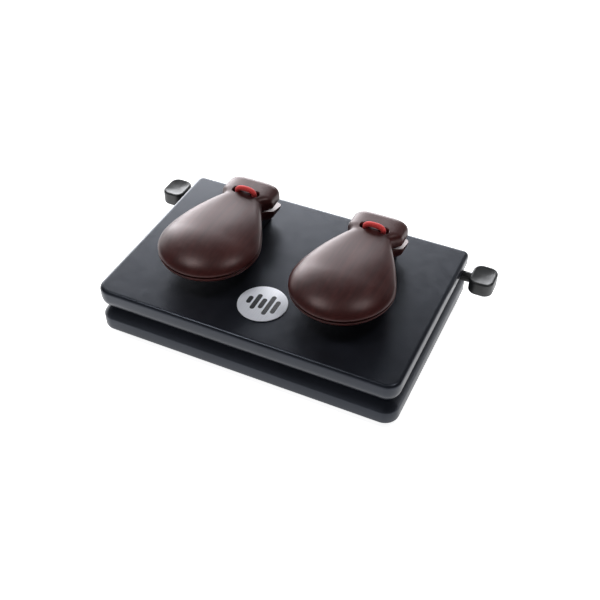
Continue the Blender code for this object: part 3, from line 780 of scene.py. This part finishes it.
def flank_rows(ear_half_width):
    """(half width, y) from the widest place of the bowl to the ear's end."""
    arc, _, shoulder, ear_side, ear_corner = FLANK_STEPS
    rows = []
    for step in range(arc + 1):
        angle = FLANK_ANGLE * step / arc
        rows.append((BOWL_RADIUS * math.cos(angle), BOWL_RADIUS * math.sin(angle)))
    rows += flank_curve(Vector(rows[-1]))
    for step in range(1, shoulder + 1):
        t = step / shoulder
        width = NECK_HALF_WIDTH + (ear_half_width - NECK_HALF_WIDTH) * smooth_step(t)
        rows.append((width, NECK_Y + SHOULDER_LENGTH * t))
    side_y, corner_y = NECK_Y + SHOULDER_LENGTH, EAR_END_Y - EAR_CORNER
    for step in range(1, ear_side + 1):
        rows.append((ear_half_width, side_y + (corner_y - side_y) * step / ear_side))
    for angle in quarter_turn(ear_corner, first=1):
        width = ear_half_width - EAR_CORNER * (1 - math.cos(angle))
        rows.append((width, corner_y + EAR_CORNER * math.sin(angle)))
    return rows


def shell_shape(up):
    """The outer surface, its rolled rim and its flat mating face, the bowl's middle at zero."""
    shape = bmesh.new()
    half = ACROSS_STEPS // 2
    across = [math.sin(math.pi / 2 * (i - half) / half) for i in range(ACROSS_STEPS + 1)]
    rows = []
    for width, y in flank_rows(EAR_HALF_WIDTH[up]):
        rows.append([shape.verts.new((a * width + ear_shift(y), y, surface(a, y))) for a in across])
    for row, after in zip(rows, rows[1:]):
        for i in range(ACROSS_STEPS):
            shape.faces.new((row[i], row[i + 1], after[i + 1], after[i]))
    spokes = [rows[0][half:]]
    for step in range(1, POLAR_STEPS):
        angle = math.pi * step / POLAR_STEPS
        spoke = [rows[0][half]]
        for a in across[half + 1 :]:
            x, y = BOWL_RADIUS * a * math.cos(angle), -BOWL_RADIUS * a * math.sin(angle)
            spoke.append(shape.verts.new((x, y, surface(a, 0.0))))
        spokes.append(spoke)
    spokes.append(list(reversed(rows[0][: half + 1])))
    for spoke, after in zip(spokes, spokes[1:]):
        shape.faces.new((spoke[0], spoke[1], after[1]))
        for i in range(1, half):
            shape.faces.new((spoke[i], spoke[i + 1], after[i + 1], after[i]))
    last = rows[-1]
    lower = [shape.verts.new((v.co.x, v.co.y, RIM_FILLET)) for v in last[1:-1]]
    bottom = [last[0], *lower, last[-1]]
    for i in range(ACROSS_STEPS):
        corners = [last[i], last[i + 1], bottom[i + 1], bottom[i]]
        shape.faces.new(list(dict.fromkeys(corners)))
    edge = [row[-1] for row in rows[1:]] + list(reversed(lower))
    edge += [row[0] for row in reversed(rows[1:])] + [spoke[-1] for spoke in reversed(spokes)]
    roll_under(shape, edge)
    if up < 0:
        bmesh.ops.scale(shape, vec=(1, 1, -1), verts=shape.verts)
    return shape


def roll_under(shape, edge):
    """Rolls the rim inwards from the outer surface and closes it with the flat mating face."""
    count = len(edge)
    inward = []
    for i in range(count):
        run = edge[(i + 1) % count].co - edge[i - 1].co
        inward.append(Vector((-run.y, run.x, 0.0)).normalized())
    before = edge
    for angle in quarter_turn(RIM_STEPS, first=1):
        inset, z = RIM_FILLET * (1 - math.cos(angle)), RIM_FILLET * (1 - math.sin(angle))
        ring = []
        for vert, way in zip(edge, inward):
            point = vert.co + way * inset
            ring.append(shape.verts.new((point.x, point.y, z)))
        for i in range(count):
            j = (i + 1) % count
            shape.faces.new((before[i], before[j], ring[j], ring[i]))
        before = ring
    shape.faces.new(before)


def lipped_hole(x, y, low, top):
    """A tool for a cord hole whose mouth flares to a rounded edge. top is the surface's height."""
    wide, above = CORD_HOLE_RADIUS + CORD_HOLE_LIP * 1.2, top + 6 * CUT_MARGIN
    profile = [(0.0, above), (wide, above), (wide, top)]
    for angle in quarter_turn(6):
        inset, drop = 1 - math.sin(angle), 1 - math.cos(angle)
        profile.append((CORD_HOLE_RADIUS + CORD_HOLE_LIP * inset, top - CORD_HOLE_LIP * drop))
    profile += [(CORD_HOLE_RADIUS, low), (0.0, low)]
    return moved(turned_shape(profile, 48), (x, y, 0.0))


def hollow_tool():
    """Half an ellipse turned about its upright axis, for the hollow of a shell."""
    profile = []
    for step in range(HOLLOW_STEPS):
        angle = math.pi * step / HOLLOW_STEPS
        profile.append((HOLLOW_RADIUS * math.sin(angle), HOLLOW_DEPTH * math.cos(angle)))
    profile.append((0.0, -HOLLOW_DEPTH))
    return turned_shape(profile, 96)


def slope_tool(up):
    """What the ear's inner face loses behind the bridge, with the bridge's line at zero."""
    _, length, height = SLOPE_TOOL
    wedge = moved(block(SLOPE_TOOL), (0, length / 2 - SLOPE_TOOL_LEAD, -up * height / 2))
    return moved(wedge, (0, 0, 0), Matrix.Rotation(up * EAR_SLOPE[up], 3, "X"))


def castanet_shell(prefix, up):
    """The upper shell (up is 1) or the lower one (-1), whose hidden screw holes aren't cut."""
    node = f"{prefix}_{'upper' if up > 0 else 'lower'}_shell"
    low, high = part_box(node)
    x = (low.x + high.x) / 2
    bowl_y = low.y + BOWL_RADIUS
    rim = low.z if up > 0 else high.z
    shape = moved(shell_shape(up), (x, bowl_y, rim))
    shell = finish_mesh(f"{node}_turned", shape, LACQUER)
    tools = [moved(hollow_tool(), (x, bowl_y, rim))]
    tools.append(moved(slope_tool(up), (x, bowl_y + BRIDGE_Y, rim)))
    for hole_x in cord_hole_places(prefix):
        if up > 0:
            share = (hole_x - cord_x(prefix)) / EAR_HALF_WIDTH[up]
            top = rim + surface(share, CORD_Y - bowl_y)
            tools.append(lipped_hole(hole_x, CORD_Y, rim - 5 * CUT_MARGIN, top))
        else:
            tools.append(drilled(CORD_HOLE_RADIUS, hole_x, CORD_Y, rim - 10 * CUT_MARGIN))
    if up < 0:
        _, depth, height = SEAT_TOOL
        seat_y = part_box(f"{prefix}_riser")[0].y - SEAT_LEAD + depth / 2
        tools.append(moved(block(SEAT_TOOL), (x, seat_y, rim - EAR_FLAT - height / 2)))
    carve(shell, tools, SHELL_SHARP_ANGLE)
    attach(shell, f"{prefix}_castanet" if up > 0 else "base", [node])


# ---------------------------------------------------------------- cord


def resample(points, spacing):
    """Evenly spaced points along a polyline."""
    points = [Vector(p) for p in points]
    lengths = [0.0]
    for a, b in zip(points, points[1:]):
        lengths.append(lengths[-1] + (b - a).length)
    count = max(2, round(lengths[-1] / spacing))
    result, segment = [], 0
    for i in range(count + 1):
        want = lengths[-1] * i / count
        while segment < len(points) - 2 and lengths[segment + 1] < want:
            segment += 1
        share = (want - lengths[segment]) / max(lengths[segment + 1] - lengths[segment], 1e-12)
        result.append(points[segment].lerp(points[segment + 1], min(max(share, 0.0), 1.0)))
    return result


def smoothed(points):
    for _ in range(BRAID_SMOOTHING):
        inner = [(a + b * 2 + c) / 4 for a, b, c in zip(points, points[1:], points[2:])]
        points = [points[0], *inner, points[-1]]
    return points


def braid_radius(angle, along):
    """The cord's surface where two families of strands pass over and under each other."""
    u = math.pi * BRAID_STRANDS * (angle / (2 * math.pi) + along / BRAID_PITCH)
    v = math.pi * BRAID_STRANDS * (angle / (2 * math.pi) - along / BRAID_PITCH)
    over = math.sin(u) * math.sin(v)
    relief = abs(math.cos(u)) * (0.5 + 0.5 * over) + abs(math.cos(v)) * (0.5 - 0.5 * over)
    return CORD_RADIUS - BRAID_RELIEF * (1.0 - min(relief, 1.0))


def braided_tube(name, route, spacing=0.22 * MM, around=64):
    """A round braided cord along a route of points."""
    centres = smoothed(resample(route, spacing))
    neighbours = zip([centres[0], *centres], [*centres[1:], centres[-1]])
    tangents = [(after - before).normalized() for before, after in neighbours]
    normal = tangents[0].orthogonal().normalized()
    rings = []
    along = 0.0
    for i, (centre, tangent) in enumerate(zip(centres, tangents)):
        normal = (normal - tangent * normal.dot(tangent)).normalized()
        side = tangent.cross(normal)
        if i:
            along += (centre - centres[i - 1]).length
        ring = []
        for k in range(around):
            angle = 2 * math.pi * k / around
            out = normal * math.cos(angle) + side * math.sin(angle)
            ring.append(centre + out * braid_radius(angle, along))
        rings.append(ring)
    return finish_mesh(name, stacked(rings), ELASTIC, CORD_SHARP_ANGLE)


def cord(prefix):
    """One elastic cord: from the peg, up through the board and both ears, over, and back."""
    x = cord_x(prefix)
    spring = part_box(f"{prefix}_cord_loop")[1].z - CORD_RADIUS - ARCH_RISE - ARCH_SINK
    rise = ARCH_RISE + ARCH_SINK - ARCH_DROP
    run_z = PEG_Z + WINDING_RADIUS
    side_route = [(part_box(f"{prefix}_cord_leg_a")[1].y, run_z)]
    for angle in reversed(quarter_turn(10)):
        inset, lift = CORD_BEND * (1 - math.cos(angle)), CORD_BEND * (1 - math.sin(angle))
        side_route.append((CORD_Y + inset, run_z + lift))
    left = [(x - CORD_HALF_SPACING, y, z) for y, z in side_route]
    right = [(x + CORD_HALF_SPACING, y, z) for y, z in reversed(side_route)]
    arch = []
    for step in range(ARCH_STEPS + 1):
        angle = math.pi * step / ARCH_STEPS
        across = -math.copysign(abs(math.cos(angle)) ** ARCH_POWER, math.cos(angle))
        z = spring + rise * math.sin(angle) ** ARCH_POWER
        arch.append((x + CORD_HALF_SPACING * across, CORD_Y, z))
    tube = braided_tube(f"{prefix}_cord_braided", left + arch + right)
    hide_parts(f"{prefix}_cord_loop", f"{prefix}_cord_leg_a", f"{prefix}_cord_leg_b")
    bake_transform(tube)


def winding(prefix, label):
    """Two turns of the cord side by side on the peg's spool."""
    node = f"{prefix}_cord_winding_{label}"
    centre = middle_of(node)
    route = []
    for step in range(WINDING_STEPS + 1):
        turn = WINDING_TURNS * step / WINDING_STEPS
        crossing = (turn - WINDING_TURNS / 2) / WINDING_CROSSING + 0.5
        x = centre.x + (2 * smooth_step(crossing) - 1) * CORD_RADIUS
        angle = 2 * math.pi * turn
        y = centre.y + WINDING_RADIUS * math.cos(angle)
        z = centre.z + WINDING_RADIUS * math.sin(angle)
        route.append((x, y, z))
    coil = braided_tube(f"{node}_braided", route, 0.4 * MM, 32)
    attach(coil, f"{prefix}_peg", [node])


# ---------------------------------------------------------------- pegs


def button(prefix, side):
    """The thumb button: a rounded eight-sided block, dished on both faces."""
    node = f"{prefix}_peg_button"
    half_x, half_y, half_z = size_of(node) / 2
    top = []  # (half x, half y, corner, z) from the middle of the dish outwards
    for step in range(1, BUTTON_DISH_STEPS + 1):
        share = step / BUTTON_DISH_STEPS
        reach = (half_x - BUTTON_ROUNDING) * share, (half_y - BUTTON_ROUNDING) * share
        z = half_z - BUTTON_DISH_DEPTH * (1 - share**2)
        top.append((*reach, BUTTON_DISH_CORNER * share, z))
    for angle in quarter_turn(ROUNDING_STEPS, first=1):
        inset = BUTTON_ROUNDING * (1 - math.sin(angle))
        z = half_z - BUTTON_ROUNDING * (1 - math.cos(angle))
        top.append((half_x - inset, half_y - inset, BUTTON_CORNER - inset, z))
    rows = top + [(*row[:3], -row[3]) for row in reversed(top)]
    rings = [rounded_rectangle(x, y, corner, corner, z, 10) for x, y, corner, z in rows]
    middle = middle_of(node)
    piece = finish_mesh(f"{node}_dished", moved(stacked(rings), middle), PEG)
    bore = rod(SHAFT_RADIUS + GAP, 2 * BUTTON_BORE_DEPTH, along="X")
    carve(piece, [moved(bore, (middle.x - side * half_x, PEG_Y, PEG_Z))])
    attach(piece, f"{prefix}_peg", [node])


def dress_cad_pieces():
    """Materials for the nodes that are shown as the CAD has them."""
    looks = {"shaft": PEG, "clip": STEEL, "bush": BRASS, "shell_screw": STEEL}
    for name, node in frame["nodes"].items():
        for ending, look in looks.items():
            if name.endswith(ending):
                node.data.materials.clear()
                node.data.materials.append(look)


# ---------------------------------------------------------------- assembly

board()
for row in ("front", "back"):
    for prefix, _ in SIDES:
        foot(f"{row}_{prefix}_foot")
for screw in BOARD_SCREWS:
    board_screw(screw)
badge()
for prefix, side in SIDES:
    castanet_shell(prefix, 1)
    castanet_shell(prefix, -1)
    riser(prefix)
    cord(prefix)
    winding(prefix, "a")
    winding(prefix, "b")
    button(prefix, side)
dress_cad_pieces()


# ---------------------------------------------------------------- stage, lights, camera


def direction(azimuth, elevation):
    """Away from the object. Azimuth 0 is in front, 90 degrees to the right."""
    level = Vector((math.sin(azimuth), -math.cos(azimuth), 0.0)) * math.cos(elevation)
    return level + Vector((0.0, 0.0, math.sin(elevation)))


def floor():
    shape = bmesh.new()
    bmesh.ops.create_grid(shape, x_segments=1, y_segments=1, size=FLOOR_SIZE)
    paper = new_material(
        "floor_paper", grey(0.93), 0.9,
        Specular_IOR_Level=0.1, Emission_Color=(1.0, 1.0, 1.0, 1.0), Emission_Strength=0.9,
    )
    finish_mesh("floor", shape, paper)


def softbox(name, azimuth, elevation, distance, size, radiance, colour):
    """A rectangular light that faces the object."""
    way = direction(math.radians(azimuth), math.radians(elevation))
    data = bpy.data.lights.new(name, "AREA")
    data.shape = "RECTANGLE"
    data.size, data.size_y = size
    data.energy = radiance * math.pi * size[0] * size[1]
    data.color = colour
    light = bpy.data.objects.new(name, data)
    light.location = way * distance + LIGHT_TARGET
    light.rotation_mode = "QUATERNION"
    light.rotation_quaternion = way.to_track_quat("Z", "Y")
    bpy.context.scene.collection.objects.link(light)


def world():
    made = bpy.data.worlds.new("studio")
    made.use_nodes = True
    background = made.node_tree.nodes["Background"]
    background.inputs["Color"].default_value = SKY_COLOUR
    background.inputs["Strength"].default_value = SKY_STRENGTH
    bpy.context.scene.world = made


def camera():
    """Stands at a distance from the board's underside, then pans, tilts and rolls."""
    back = direction(CAMERA_AZIMUTH, CAMERA_ELEVATION)
    forward = -back
    right = forward.cross(Vector((0.0, 0.0, 1.0))).normalized()
    up = right.cross(forward)
    turn = Matrix.Rotation(-CAMERA_PAN, 3, up)
    forward, right = turn @ forward, turn @ right
    turn = Matrix.Rotation(CAMERA_TILT, 3, right)
    forward, up = turn @ forward, turn @ up
    across = right * math.cos(CAMERA_ROLL) + up * math.sin(CAMERA_ROLL)
    upwards = up * math.cos(CAMERA_ROLL) - right * math.sin(CAMERA_ROLL)
    data = bpy.data.cameras.new("camera")
    data.lens, data.sensor_width = CAMERA_LENS, CAMERA_SENSOR
    data.clip_start = 10 * MM
    made = bpy.data.objects.new("camera", data)
    rotation = Matrix((across, upwards, -forward)).transposed()
    target = Vector((0.0, 0.0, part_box("lower_slab")[0].z))
    place = Matrix.Translation(target + back * CAMERA_DISTANCE)
    made.matrix_world = place @ rotation.to_4x4()
    bpy.context.scene.collection.objects.link(made)
    bpy.context.scene.camera = made


bpy.context.scene.view_settings.view_transform = "Standard"
floor()
world()
for box in SOFTBOXES:
    softbox(*box)
camera()
